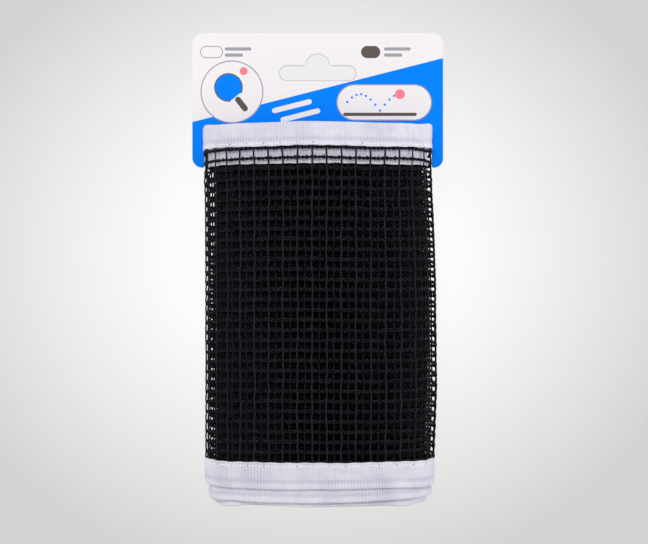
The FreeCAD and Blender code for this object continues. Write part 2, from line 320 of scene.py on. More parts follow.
def tubes(paths, outwards, half_width, half_depth):
    """Points, faces and bake layout of four-sided tubes along paths, an array of (tube, point, 3).
    outwards is a direction across each path in which the tube's section is half_depth deep."""
    sides = 4
    along = np.gradient(paths, axis=1)
    along /= np.linalg.norm(along, axis=-1, keepdims=True)
    deep = outwards - (outwards * along).sum(-1, keepdims=True) * along
    deep /= np.linalg.norm(deep, axis=-1, keepdims=True)
    wide = np.cross(along, deep)
    deep, wide = deep[:, :, None], wide[:, :, None]
    count, length = paths.shape[:2]
    angles = (math.tau * np.arange(sides) / sides)[:, None]
    spokes = half_depth * np.cos(angles) * deep + half_width * np.sin(angles) * wide
    points = (paths[:, :, None] + spokes).reshape(-1, 3)
    size = length * sides
    caps = np.array([[3, 2, 1, 0], [size - 4, size - 3, size - 2, size - 1]])
    one = np.concatenate([grid_faces(length, sides), caps])
    faces = (np.arange(count)[:, None, None] * size + one).reshape(-1, 4)
    # The caps' places are small patches in the margins, one below and one above
    low, high = 0.0, BAKE_MARGIN / 2
    cap_corners = np.array([[0.4, low], [0.6, low], [0.6, high], [0.4, high]])
    layout = np.concatenate([bake_layout(length, sides), cap_corners[None], 1 - cap_corners[None]])
    layout = np.tile(layout, (count, 1, 1, 1))
    layout[..., 0] = (layout[..., 0] + np.arange(count)[:, None, None]) / count
    return points, faces, layout.reshape(-1, 4, 2)

def joined(parts):
    """One set of points, faces and bake layout from several, each with its own share of the picture."""
    total = sum(len(faces) for _, faces, _ in parts)
    points, faces, layouts, first, start = [], [], [], 0, 0.0
    for some, quads, layout in parts:
        share = len(quads) / total
        points.append(some)
        faces.append(quads + first)
        layouts.append(layout * (share, 1.0) + (start, 0.0))
        first += len(some)
        start += share
    return np.concatenate(points), np.concatenate(faces), np.concatenate(layouts)

def close_ends(piece, ring):
    """Caps both ends of a mesh that is made of closed rings of that many points."""
    shape = bmesh.new()
    shape.from_mesh(piece.data)
    verts = list(shape.verts)
    shape.faces.new(verts[:ring])
    shape.faces.new(verts[: -ring - 1 : -1])
    bmesh.ops.recalc_face_normals(shape, faces=shape.faces)
    shape.to_mesh(piece.data)
    shape.free()

# The netting: crochet rows of two strands wound round each other, and straight upright threads

ROWS = 33
ROW_PITCH = 4.22
FIRST_ROW_DOWN = 6.33
ROW_SAG = 0.14
ROW_WANDER, ROW_WAVE = 0.12, (100, 26)
HIDDEN_DRIFT, HIDDEN_DRIFT_LENGTH = 0.0085, 1290
HIDDEN_ROW_HALF = (1.1, 0.4)
PLAIN_SPACING = 4

# The strands of a row, and the dark core between them. The core is fuzz, darkened with painted shade.
TWIST = 3.3
TWIST_STEPS, SECOND_TWIST_STEPS = 8, 6
PHASE_PER_ROW = 1.9
PHASE_WANDER, PHASE_WAVE = 0.9, (300, 17)
SLACK_WAVE, SLACK_SWING, SLACK_SHIFT = (500, 3.7), 0.45, 0.08
STRAND_SWING = 0.62
STRAND_LIFT = 0.26
STRAND_LIFT_IN_TAPE = 0.04
STRAND_HALF = (0.21, 0.22)
CORE_HALF = (0.45, 0.12)
CORE_OUT = -0.1

UPRIGHT_HALF = (0.38, 0.34)
UPRIGHT_SHIFT, UPRIGHT_SHORT_WAVE, UPRIGHT_LONG_WAVE = 0.26, (700, 13), (900, 60)
UPRIGHT_OUT, UPRIGHT_WEAVE = 0.1, 0.14
UPRIGHT_IN_TAPE = 1.2
FRONT_UPRIGHT_X = -26.5

# The widths of a tape: on the front, how much wider in the second turn and how much less inside
TAPE_WIDTH_TOP = 9.9
TAPE_WIDTH_BOTTOM = 11
TOP_WIDTHS = (TAPE_WIDTH_TOP, 1, 2.2)
BOTTOM_WIDTHS = (TAPE_WIDTH_BOTTOM, 0, 0)
WIDTH_WANDER, WIDTH_WAVE = 0.12, (31, 44)

# Half a cell of offset between the front and the second layer, as photographed
CELLS_PER_TURN = 37.5
COLUMN_PITCH = (FRONT_START - SECOND_START) / CELLS_PER_TURN
FIRST_UPRIGHT = (FRONT_START + FRONT_UPRIGHT_X - RUN_LEFT) % COLUMN_PITCH

# How far the uprights have strayed at both ends of the front
STRAYED = [
    *past(FRONT_START, (-38, 0), (-30, 0.9), (-22, 1.3), (-14, 1.3), (-4, 0.55), (12, 0)),
    *past(FRONT_END, (-6, 0), (6.3, -0.7), (12.6, -0.7), (17.7, 0.2)),
    *past(FRONT_END, (23.8, 3.1), (29.8, 3.2), (35.7, 6.5)),
]

# How far the rows have shifted down in the two outermost turns
ROWS_DOWN = [
    (HIDDEN_UP_TO, 0),
    (SECOND_BEND, 1.1),
    *past(SECOND_START, (0, 1.1), (30, 2.4)),
    (SECOND_END, 4),
    (run_start(SECOND_RUN + 1), 4.2),
    *past(FRONT_BEND, (0, 1.2), (29, 0.5)),
    *past(FRONT_START, (6, 0)),
    *past(FRONT_END, (16, 0), (32, 1.7)),
]

# By what share the rows are further apart at the ends and the back of the outermost turn
ROWS_APART = [
    *past(run_start(FRONT_RUN - 1), (10, 0)),
    *past(FRONT_BEND, (0, 0.014), (29, 0.01)),
    *past(FRONT_START, (-12, 0)),
    *past(FRONT_END, (16, 0), (32, 0.022)),
]

def tape_width(s, base, further, hidden_less):
    """The tape covers more of the net in the second turn, and less of it in the hidden turns."""
    begun = smooth(s, HIDDEN_UP_TO, SECOND_BEND)
    on_second_turn = begun * (1 - smooth(s, SECOND_END, FRONT_START))
    uneven = WIDTH_WANDER * waver(s, *WIDTH_WAVE)
    return base + further * on_second_turn - hidden_less * (1 - begun) + uneven

def row_height(row, s):
    """Height of a row, of which the first is inside the tape. It hangs a little between uprights,
    and drifts up in the hidden turns, so that the layers there close each other's openings."""
    hang = ROW_SAG * (np.cos(math.tau * (s - FIRST_UPRIGHT) / COLUMN_PITCH) - 1) / 2
    down = np.interp(s, *zip(*ROWS_DOWN))
    drift = HIDDEN_DRIFT * np.clip(SECOND_BEND - s, 0.0, HIDDEN_DRIFT_LENGTH)
    pitch = ROW_PITCH * (1 + np.interp(s, *zip(*ROWS_APART)))
    height = NET_TOP - FIRST_ROW_DOWN - pitch * row - down + drift
    height = height + hang + ROW_WANDER * waver(s, *ROW_WAVE, row)
    return np.minimum(height, NET_TOP - 2 * STRAND_SWING)

def twisted_rows(start, end, per_twist):
    """Rows of two strands wound round each other. Inside the tapes they lie flat."""
    s = np.linspace(start, end, math.ceil((end - start) / TWIST * per_twist) + 1)
    top_tape_from = NET_TOP - tape_width(s, *TOP_WIDTHS)
    bottom_tape_to = NET_BOTTOM + TAPE_WIDTH_BOTTOM
    paths = []
    for row in range(ROWS):
        wander = PHASE_WANDER * waver(s, *PHASE_WAVE, row)
        phase = math.tau * s / TWIST + PHASE_PER_ROW * row + wander
        for strand in (0, 1):
            slack = waver(s, *SLACK_WAVE, 2 * row + strand)
            swing = STRAND_SWING * (1 + SLACK_SWING * slack)
            angle = phase + strand * math.pi
            v = row_height(row, s) + swing * np.cos(angle) + SLACK_SHIFT * slack
            in_tape = (v > top_tape_from) | (v < bottom_tape_to)
            lift = np.where(in_tape, STRAND_LIFT_IN_TAPE, STRAND_LIFT)
            paths.append(place(s, v, lift * np.sin(angle)))
    return tubes(np.array(paths), outward(s), *STRAND_HALF)

def plain_rows(start, end, out, half):
    """Rows as one band each: the hidden inner turns' rows, and the dark core of a wound one."""
    s = stations(start, end, PLAIN_SPACING)
    paths = [place(s, row_height(row, s), out) for row in range(ROWS)]
    return tubes(np.array(paths), outward(s), *half)

def uprights(start, end, per_row=2):
    """Upright threads whose foot is between start and end."""
    first = math.ceil((start - FIRST_UPRIGHT) / COLUMN_PITCH)
    last = math.ceil((end - FIRST_UPRIGHT) / COLUMN_PITCH)
    top = NET_TOP - TAPE_WIDTH_TOP + UPRIGHT_IN_TAPE
    bottom = NET_BOTTOM + TAPE_WIDTH_BOTTOM - UPRIGHT_IN_TAPE
    v = np.linspace(top, bottom, per_row * ROWS + 1)
    level = (NET_TOP - FIRST_ROW_DOWN - v) / ROW_PITCH
    out = UPRIGHT_OUT + UPRIGHT_WEAVE * np.cos(math.tau * level)
    paths = []
    for thread in range(first, last):
        foot = FIRST_UPRIGHT + thread * COLUMN_PITCH
        lean = waver(v, *UPRIGHT_SHORT_WAVE, thread) + waver(v, *UPRIGHT_LONG_WAVE, thread)
        lean = UPRIGHT_SHIFT * lean + np.interp(foot, *zip(*STRAYED))
        paths.append(place(foot + lean, v, out))
    feet = FIRST_UPRIGHT + np.arange(first, last) * COLUMN_PITCH
    return tubes(np.array(paths), outward(feet)[:, None], *UPRIGHT_HALF)

def net_piece(name, threads):
    """A stretch of the netting as one piece. threads is pairs of mesh and yarn."""
    meshes, yarns = zip(*threads)
    points, faces, bake = joined(meshes)
    next_from = np.cumsum([len(quads) for _, quads, _ in meshes])[:-1]
    piece = mesh_piece(name, points, faces, bake, yarns, next_from=next_from)
    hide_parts("netting")

def make_netting(row_yarn, shaded_second_yarn, shaded_inner_yarn, upright_yarn):
    """The netting in stretches. Only what can be seen has its strands wound."""
    inner_end = SLEEVE_SEAM / 2
    # The hidden turns and the cores get the darkest yarn, the second turn a darker one than the front:
    # painted shade
    rows = plain_rows(inner_end, SECOND_BEND, 0.0, HIDDEN_ROW_HALF)
    threads = [(rows, shaded_inner_yarn), (uprights(inner_end, SECOND_BEND, per_row=1), shaded_inner_yarn)]
    net_piece("netting_inner_turns", threads)
    front = FRONT_BEND + LENGTHS[2 * FRONT_RUN - 1] / 2
    back = FRONT_END + LENGTHS[2 * FRONT_RUN + 1] / 2
    for name, start, end, per_twist, strand_yarn in (
        ("netting_second_turn", SECOND_BEND, SECOND_END, SECOND_TWIST_STEPS, shaded_second_yarn),
        ("netting_last_back", SECOND_END, FRONT_BEND, SECOND_TWIST_STEPS, shaded_second_yarn),
        ("netting_left", FRONT_BEND, front, TWIST_STEPS, row_yarn),
        ("netting_front", front, back, TWIST_STEPS, row_yarn),
        ("netting_back", back, STRIP_END, TWIST_STEPS, row_yarn),
    ):
        threads = [
            (twisted_rows(start, end, per_twist), strand_yarn),
            (plain_rows(start, end, CORE_OUT, CORE_HALF), shaded_inner_yarn),
            (uprights(start, end), upright_yarn),
        ]
        net_piece(name, threads)

# The tape: one band folded over each edge of the net

PLY = 0.3
LEAST_OUT = 0.02
TAPE_TAIL = SLEEVE_SEAM + 0.1
SPACING_HIDDEN, PER_TURN_HIDDEN = 4.5, 14
SPACING_SECOND, SPACING_FRONT = 1, 0.5
# The inner skin hardly shows, and has every third point of the outer one
INNER_SKIN_STEP = 3
TAPE_BAKE_BANDS = 10

# Points over a ply, closest near its open edge, and how much further the fold is
ACROSS = np.array([0, 0.25, 0.6, 0.95, 1.25, 1.6, 2, 2.5, 3.1, 3.9, 4.9, 6, 7, 7.8, 8.6, 9.3])
ACROSS_REST = 0.4
FOLD_POINTS = 7

# A seam along the open edge, with needle holes, and a soft dent along the tape
SCALLOP = 0.2
SEAM_DIP, HOLE_DIP = 0.10, 0.18
SEAM_DIP_WIDTH, HOLE_DIP_WIDTH = 0.42, 0.1
HOLE_POWER = 6
LIP, LIP_WIDTH = 0.06, 0.8
DENT_WANDER, DENT_PLACE_WAVE = 0.5, (61, 53)
DENT_VARIES, DENT_DEPTH_WAVE = 0.5, (62, 37)
TOP_SECTION = dict(seam_inset=1.1, dent_at=7, dent_depth=0.16, dent_width=1.2)
BOTTOM_SECTION = dict(seam_inset=1.5, dent_at=3.3, dent_depth=0.22, dent_width=1)

STITCH_PITCH = 6.8
STITCH_GAP = 0.9
STITCH_RADIUS = 0.19
STITCH_POINTS = 11
STITCH_SUNK, STITCH_RISE = 0.32, 0.3
STITCH_WANDER, STITCH_WAVE = 0.08, (41, 9)
ARCH_POWER = 0.35

def stitch_swell(s):
    """0 at a needle hole and 1 halfway to the next."""
    return np.sin(math.pi * (s - FRONT_START) / STITCH_PITCH) ** 2

def stitch_arch(t):
    """How a stitch rises out of the cloth and sinks in again, from t 0 to 1."""
    return np.sin(math.pi * t) ** ARCH_POWER

def tape_section(s, width, seam_inset, dent_at, dent_depth, dent_width):
    """Outer skin of the tape's section: distances from the fold and out of the strip's middle, from
    the front ply's open edge round the fold to the back ply's."""
    swell = stitch_swell(s)
    edge = width + SCALLOP * (swell - 0.5)
    d = edge - ACROSS * (edge - TAPE_HALF) / (ACROSS[-1] + ACROSS_REST)
    hole = (1 - swell) ** HOLE_POWER
    seam_width = SEAM_DIP_WIDTH + HOLE_DIP_WIDTH * hole
    dip = (SEAM_DIP + HOLE_DIP * hole) * hump(d, width - seam_inset, seam_width)
    dent_at = dent_at + DENT_WANDER * waver(s, *DENT_PLACE_WAVE)
    dent_depth = dent_depth * (1 + DENT_VARIES * waver(s, *DENT_DEPTH_WAVE))
    dip += dent_depth * hump(d, dent_at, dent_width)
    out = TAPE_HALF - dip + LIP * swell * hump(d, edge, LIP_WIDTH)
    turn = np.linspace(math.pi / 2, -math.pi / 2, FOLD_POINTS)
    fold_d = TAPE_HALF * (1 - np.cos(turn))
    fold_out = TAPE_HALF * np.sin(turn)
    d = np.concatenate([d, fold_d, d[::-1]])
    return d, np.concatenate([out, fold_out, -out[::-1]])

def folded_tape(name, fold_y, inward, widths, section, material):
    """Tape folded over one edge of the net, as a thin closed skin wound with it."""
    marks = [
        stations(TAPE_TAIL, SECOND_BEND, SPACING_HIDDEN, PER_TURN_HIDDEN),
        stations(SECOND_BEND, FRONT_BEND, SPACING_SECOND)[1:],
        stations(FRONT_BEND, STRIP_END - TAPE_TAIL, SPACING_FRONT)[1:],
    ]
    rings, uvs = [], []
    for s in np.concatenate(marks):
        d, out = tape_section(s, tape_width(s, *widths), **section)
        inner_d, inner_out = d[::INNER_SKIN_STEP][::-1], out[::INNER_SKIN_STEP][::-1]
        inner_d = np.clip(inner_d, PLY, None)
        inner_out = np.sign(inner_out) * np.clip(np.abs(inner_out) - PLY, LEAST_OUT, None)
        ring_d, ring_out = np.concatenate([d, inner_d]), np.concatenate([out, inner_out])
        ring_s = np.full(len(ring_d), s)
        rings.append(np.stack([ring_s, fold_y + inward * ring_d, ring_out], axis=-1))
        uvs.append(np.stack([ring_s, ring_d], axis=-1))
    rings = np.array(rings)
    count, size = rings.shape[:2]
    points = place(rings[..., 0], rings[..., 1], rings[..., 2]).reshape(-1, 3)
    uv = np.concatenate(uvs) * MM
    faces, bake = grid_faces(count, size), bake_layout(count, size, TAPE_BAKE_BANDS)
    piece = mesh_piece(name + "_cloth", points, faces, bake, [material], uv=uv)
    close_ends(piece, size)
    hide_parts(name)

def tape_stitches(name, fold_y, inward, widths, section, material):
    """White stitches that hold both plies, on the two outermost turns."""
    first = math.ceil((SECOND_BEND - FRONT_START) / STITCH_PITCH)
    last = math.floor((STRIP_END - SLEEVE_SEAM - FRONT_START) / STITCH_PITCH)
    t = np.linspace(0, 1, STITCH_POINTS)
    paths, outwards = [], []
    for stitch in range(first, last):
        s = FRONT_START + stitch * STITCH_PITCH + STITCH_GAP / 2 + t * (STITCH_PITCH - STITCH_GAP)
        seam = tape_width(s, *widths) - section["seam_inset"]
        v = fold_y + inward * (seam + STITCH_WANDER * waver(s, *STITCH_WAVE))
        for side in (1, -1):
            out = side * (TAPE_HALF - STITCH_SUNK + STITCH_RISE * stitch_arch(t))
            paths.append(place(s, v, out))
            outwards.append(outward(s))
    points, faces, bake = tubes(np.array(paths), np.array(outwards), STITCH_RADIUS, STITCH_RADIUS)
    mesh_piece(name, points, faces, bake, [material])

def make_tapes(thread):
    """Both tapes with their stitches."""
    for name, fold_y, inward, widths, section in (
        ("top_tape", NET_TOP, -1, TOP_WIDTHS, TOP_SECTION),
        ("bottom_tape", NET_BOTTOM, 1, BOTTOM_WIDTHS, BOTTOM_SECTION),
    ):
        weave = tape_material(name + "_weave", widths[0] - section["seam_inset"], section)
        folded_tape(name, fold_y, inward, widths, section, weave)
        tape_stitches(name + "_stitches", fold_y, inward, widths, section, thread)

# The end sleeves

SLEEVE_PLY = 0.3
SLEEVE_PLY_POINTS, SLEEVE_FOLD_POINTS, SLEEVE_RINGS = 12, 9, 80
SLEEVE_SAG, SLEEVE_WAVE = 0.12, (51, 40)
SEWING_LINES = (SLEEVE_SEAM / 2 - 1.2, SLEEVE_SEAM / 2 + 2.4)
SEWING_INSET = 1.2
SEWING_PITCH = 3.4
SEWING_RADIUS = 0.17
SEWING_POINTS = 9
SEWING_SUNK, SEWING_RISE = 0.1, 0.16
SEWING_WANDER, SEWING_WAVE = 0.05, (43, 9)
# Where a stitch begins and how long it is, as shares of the pitch
SEWING_FROM, SEWING_LENGTH = 0.1, 0.8

def sleeve_sag(y, from_mouth):
    """How far the upper ply stands off at heights y and distances from the pocket's mouth."""
    return SLEEVE_SAG * waver(y + from_mouth, *SLEEVE_WAVE)

def end_sleeve(name, low, high, mouth_x, fold_x, material):
    """Flat pocket of black cloth between two CAD corners, folded at fold_x and open at mouth_x."""
    middle_z, half = (low[2] + high[2]) / 2, (high[2] - low[2]) / 2
    away = 1 if fold_x > mouth_x else -1
    turn = np.linspace(math.pi / 2, -math.pi / 2, SLEEVE_FOLD_POINTS)
    length = abs(fold_x - mouth_x)
    ply = np.linspace(0, length - half, SLEEVE_PLY_POINTS)
    flat_out = np.full(SLEEVE_PLY_POINTS, half)
    d = np.concatenate([ply, length - half + half * np.cos(turn)[1:-1], ply[::-1]])
    out = np.concatenate([flat_out, half * np.sin(turn)[1:-1], -flat_out])
    inner_out = np.sign(out) * np.clip(np.abs(out) - SLEEVE_PLY, 0.0, None)
    inner_d = np.minimum(d, length - SLEEVE_PLY)
    ring_d = np.concatenate([d, inner_d[::-1]])
    ring_out = np.concatenate([out, inner_out[::-1]])
    rings = []
    for y in np.linspace(low[1], high[1], SLEEVE_RINGS):
        z = middle_z + ring_out + np.where(ring_out > 0, sleeve_sag(y, ring_d), 0.0)
        rings.append(np.stack([mouth_x + away * ring_d, np.full(len(ring_d), y), z], axis=-1))
    rings = np.array(rings)
    points = rings.reshape(-1, 3)
    uv = points[:, :2] * MM
    faces, bake = grid_faces(*rings.shape[:2]), bake_layout(*rings.shape[:2])
    piece = mesh_piece(name + "_cloth", points, faces, bake, [material], uv=uv)
    close_ends(piece, rings.shape[1])
    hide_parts(name)

def sleeve_stitches(name, low, high, mouth_x, fold_x, material):
    """Two lines of stitches on both faces, which close the pocket over the net's end."""
    away = 1 if fold_x > mouth_x else -1
    first_y, last_y = low[1] + SEWING_INSET, high[1] - SEWING_INSET
    count = round((last_y - first_y) / SEWING_PITCH)
    t = np.linspace(0, 1, SEWING_POINTS)
    rise = SEWING_RISE * stitch_arch(t) - SEWING_SUNK
    paths, outwards = [], []
    for from_mouth in SEWING_LINES:
        for stitch in range(count):
            pitches = stitch + SEWING_FROM + SEWING_LENGTH * t
            y = first_y + (last_y - first_y) / count * pitches
            x = mouth_x + away * (from_mouth + SEWING_WANDER * waver(y, *SEWING_WAVE))
            for side, face_z in ((1, high[2] + sleeve_sag(y, from_mouth)), (-1, low[2])):
                paths.append(np.stack([x, y, face_z + side * rise], axis=-1))
                outwards.append(np.tile([0.0, 0.0, float(side)], (len(t), 1)))
    radius = SEWING_RADIUS
    points, faces, bake = tubes(np.array(paths), np.array(outwards), radius, radius)
    mesh_piece(name, points, faces, bake, [material])

def make_sleeves(cloth, thread):
    """Both pockets with their stitches. The inner one has its mouth at the left."""
    for name, low, high, mouth_at_left in (
        ("inner_end_sleeve", INNER_SLEEVE_LOW, INNER_SLEEVE_HIGH, True),
        ("outer_end_sleeve", OUTER_SLEEVE_LOW, OUTER_SLEEVE_HIGH, False),
    ):
        mouth_x, fold_x = (low[0], high[0]) if mouth_at_left else (high[0], low[0])
        end_sleeve(name, low, high, mouth_x, fold_x, cloth)
        sleeve_stitches(name + "_stitches", low, high, mouth_x, fold_x, thread)

# Materials. Where a colour is a pair, noise blends one into the other.

def srgb(red, green, blue):
    """Colour of a print or cloth as a shader takes it, from 8-bit values."""
    values = (red / 255, green / 255, blue / 255)
    return tuple(v / 12.92 if v <= 0.04045 else ((v + 0.055) / 1.055) ** 2.4 for v in values) + (1.0,)

ROW_YARN = srgb(4, 3, 7), srgb(51, 48, 58)
# The second turn's and the hidden turns' yarns are darker copies of the row yarn: painted shade
SECOND_YARN_SHADED = srgb(4, 3, 7), srgb(33, 31, 38)
INNER_YARN_SHADED = srgb(4, 4, 6), srgb(17, 16, 20)
UPRIGHT_YARN = srgb(14, 13, 18), srgb(33, 33, 38)
THREAD_WHITE = srgb(252, 251, 255), srgb(236, 234, 244)
THREAD_BLACK = srgb(38, 38, 42), srgb(58, 57, 64)
SLEEVE_CLOTH = srgb(22, 22, 26), srgb(46, 45, 52)
SLEEVE_WEAVE_PITCH = 0.55
TAPE_WHITE = srgb(236, 233, 244)
# TAPE_SHADE is the grey of the tape's random mottling and of the pressed band's painted shade
TAPE_SHADE = srgb(205, 202, 219)
# Painted shade in the valleys between the ribs
RIB_SHADE = srgb(168, 165, 186)
# Painted shade in the needle holes
HOLE_SHADE = srgb(132, 129, 144)
RIB_PITCH = 0.6
PICK_PITCH = 0.32
# The pressed band's painted shade: how far it spreads, how dark it is, and how much it adds to the rib
# shade
BAND_SPREAD, BAND_PAINTED_SHADE, BAND_RIBS = 1.4, 0.5, 0.35
HOLE_OUTSIDE, HOLE_INSIDE = 0.38, 0.16
# The levels of the noise at which a needle hole is closed and open
HOLE_CLOSED, HOLE_OPEN = 0.42, 0.62
# Whole pitches that keep a remainder above 0 all along the strip
PITCHES_AHEAD = 300

def new_material(name, roughness, specular):
    """A material with its node tree and its shader node."""
    material = bpy.data.materials.new(name)
    material.use_nodes = True
    shader = material.node_tree.nodes["Principled BSDF"]
    feed(shader.inputs["Roughness"], roughness)
    feed(shader.inputs["Specular IOR Level"], specular)
    return material, material.node_tree, shader

def add(tree, kind, **settings):
    """A new shader node with its settings."""
    node = tree.nodes.new("ShaderNode" + kind)
    for key, value in settings.items():
        setattr(node, key, value)
    return node

def tree_of(values):
    """The node tree of the sockets among some values."""
    return next(value.id_data for value in values if isinstance(value, bpy.types.NodeSocket))

def link(output, socket):
    """Links a node's output to a socket of the same tree."""
    output.id_data.links.new(output, socket)

def feed(socket, value):
    """Links a socket to another node's output, or sets its value."""
    if isinstance(value, bpy.types.NodeSocket):
        link(value, socket)
    else:
        socket.default_value = value

def calc(operation, *values):
    """Output of a Math node on numbers or sockets."""
    node = add(tree_of(values), "Math", operation=operation)
    for socket, value in zip(node.inputs, values):
        feed(socket, value)
    return node.outputs[0]

def vector(operation, *values):
    """Output of a Vector Math node on vectors or sockets."""
    node = add(tree_of(values), "VectorMath", operation=operation)
    for socket, value in zip(node.inputs, values):
        feed(socket, value)
    return node.outputs["Value" if operation == "LENGTH" else "Vector"]

def times(first, second):
    """Product of two numbers or sockets."""
    return calc("MULTIPLY", first, second)

def scaled(value, gain, lift):
    """A value times gain, plus lift."""
    return calc("MULTIPLY_ADD", value, gain, lift)

def climb(value, start, end, **settings):
    """0 where the value is at start, 1 where it is at end, and a climb between."""
    node = add(value.id_data, "MapRange", **settings)
    feed(node.inputs["From Min"], start)
    feed(node.inputs["From Max"], end)
    link(value, node.inputs["Value"])
    return node.outputs["Result"]

def split(socket):
    """The X, Y and Z of a vector."""
    node = add(socket.id_data, "SeparateXYZ")
    link(socket, node.inputs[0])
    return node.outputs

# A Mix node has one set of sockets for each data type; these are the places of the colours
MIX_FIRST, MIX_SECOND, MIX_OUT = 6, 7, 2

def mix(share, first, second):
    """Output of a colour Mix node, where share is that of the second colour."""
    node = add(share.id_data, "Mix", data_type="RGBA")
    feed(node.inputs["Factor"], share)
    feed(node.inputs[MIX_FIRST], first)
    feed(node.inputs[MIX_SECOND], second)
    return node.outputs[MIX_OUT]

def noise(where, scale, detail=2.0):
    """Soft noise from 0 to 1."""
    node = add(where.id_data, "TexNoise")
    feed(node.inputs["Scale"], scale)
    feed(node.inputs["Detail"], detail)
    link(where, node.inputs["Vector"])
    return node.outputs["Fac"]

def bump(shader, height, distance, strength):
    """Fine relief: so many metres of distance at a height of 1."""
    node = add(height.id_data, "Bump")
    feed(node.inputs["Strength"], strength)
    feed(node.inputs["Distance"], distance)
    link(height, node.inputs["Height"])
    link(node.outputs["Normal"], shader.inputs["Normal"])

def object_place(tree):
    """Place in the object, in metres."""
    return add(tree, "TexCoord").outputs["Object"]

def yarn_material(name, dark, light, specular):
    """Black polyester yarn: matt, with lighter noise patches that are painted glints on the fibres."""
    material, tree, shader = new_material(name, roughness=0.55, specular=specular)
    where = object_place(tree)
    tone = scaled(noise(where, scale=800.0, detail=3.0), gain=2.6, lift=-0.8)
    link(mix(tone, dark, light), shader.inputs["Base Color"])
    fibres = noise(where, scale=4200.0, detail=3.0)
    bump(shader, fibres, distance=0.00012, strength=0.6)
    return material

def tape_weave(where, along, across):
    """Height of the ribs, which run across the tape, and of the whole weave."""
    stray = times(noise(where, scale=260.0), 1.6)
    turns = times(along, math.tau / (RIB_PITCH * MM))
    rib = calc("SINE", calc("ADD", turns, stray))
    rib = scaled(rib, gain=0.5, lift=0.5)
    pick = calc("SINE", times(across, math.tau / (PICK_PITCH * MM)))
    fuzz = times(noise(where, scale=3000.0), 0.5)
    grain = scaled(pick, gain=0.12, lift=fuzz)
    return rib, calc("ADD", rib, grain)

def pressed_band(across, section):
    """1 in the middle of the soft band that is pressed along the tape, and 0 beside it. The tape's
    painted shade follows it.
    """
    off = calc("ABSOLUTE", calc("SUBTRACT", across, section["dent_at"] * MM))
    start = section["dent_width"] * BAND_SPREAD * MM
    return climb(off, start, 0.0, interpolation_type="SMOOTHSTEP")

def needle_holes(where, along, across, seam):
    """How much of a needle hole shows, painted as a dark dot, which is painted shade. They lie along
    the seam, and some have closed.
    """
    pitch = STITCH_PITCH * MM
    to_hole = ((PITCHES_AHEAD + 0.5) * STITCH_PITCH - FRONT_START) * MM
    in_pitch = calc("MODULO", calc("ADD", along, to_hole), pitch)
    off_along = calc("ABSOLUTE", calc("SUBTRACT", in_pitch, pitch / 2))
    off_across = calc("SUBTRACT", across, seam * MM)
    square = times(off_across, off_across)
    away = calc("SQRT", calc("ADD", calc("POWER", off_along, 2.0), square))
    hole = climb(away, HOLE_OUTSIDE * MM, HOLE_INSIDE * MM)
    is_open = climb(noise(where, scale=110.0, detail=0.0), HOLE_CLOSED, HOLE_OPEN)
    return times(hole, is_open)

def tape_material(name, seam, section):
    """White ribbed tape with a soft band pressed along it, darkened with painted shade, and painted
    shade in the valleys of its ribs. The needle has left holes along its seam, which is that far
    from the fold."""
    material, tree, shader = new_material(name, roughness=0.75, specular=0.2)
    feed(shader.inputs["Sheen Weight"], 0.15)
    where = object_place(tree)
    strip = split(add(tree, "UVMap", uv_map="strip").outputs["UV"])
    along, across = strip["X"], strip["Y"]
    rib, height = tape_weave(where, along, across)
    fine_patch = times(noise(where, scale=420.0), 0.5)
    patch = calc("ADD", noise(where, scale=120.0), fine_patch)
    cloth = mix(scaled(patch, gain=1.5, lift=-1.0), TAPE_WHITE, TAPE_SHADE)
    # Painted shade along the pressed band
    band = pressed_band(across, section)
    uneven = scaled(noise(where, scale=150.0), gain=2.0, lift=-0.35)
    painted_band_shade = times(band, times(uneven, BAND_PAINTED_SHADE))
    cloth = mix(painted_band_shade, cloth, TAPE_SHADE)
    # The valleys between the ribs are painted darker: painted shade, more of it in the pressed band
    rib_painted_shade = scaled(noise(where, scale=55.0), gain=1.5, lift=-0.25)
    rib_painted_shade = calc("ADD", rib_painted_shade, times(band, BAND_RIBS))
    painted_valley_shade = times(calc("SUBTRACT", 1.0, rib), rib_painted_shade)
    cloth = mix(calc("MINIMUM", painted_valley_shade, 1.0), cloth, RIB_SHADE)
    # Needle holes as dark dots: painted shade
    cloth = mix(needle_holes(where, along, across, seam), cloth, HOLE_SHADE)
    link(cloth, shader.inputs["Base Color"])
    bump(shader, height, distance=0.00009, strength=0.9)
    return material

def thread_material(name, colours):
    """Twisted sewing thread with a slight gloss."""
    material, tree, shader = new_material(name, roughness=0.5, specular=0.35)
    twist = noise(object_place(tree), scale=3500.0)
    link(mix(twist, *colours), shader.inputs["Base Color"])
    bump(shader, twist, distance=0.00006, strength=0.5)
    return material

def sleeve_material():
    """Black plain-woven cloth."""
    material, tree, shader = new_material("sleeve_weave", roughness=0.7, specular=0.3)
    feed(shader.inputs["Sheen Weight"], 0.15)
    where = object_place(tree)
    at = split(where)
    per_metre = math.tau / (SLEEVE_WEAVE_PITCH * MM)
    warp_wave = calc("SINE", times(at["X"], per_metre))
    weft_wave = calc("SINE", times(at["Y"], per_metre))
    weave = times(warp_wave, weft_wave)
    tone = scaled(weave, gain=0.25, lift=noise(where, scale=120.0))
    link(mix(tone, *SLEEVE_CLOTH), shader.inputs["Base Color"])
    height = calc("ADD", weave, noise(where, scale=2500.0))
    bump(shader, height, distance=0.00009, strength=0.7)
    return material

# The card's print, in mm on its face. Its marks are plain shapes.

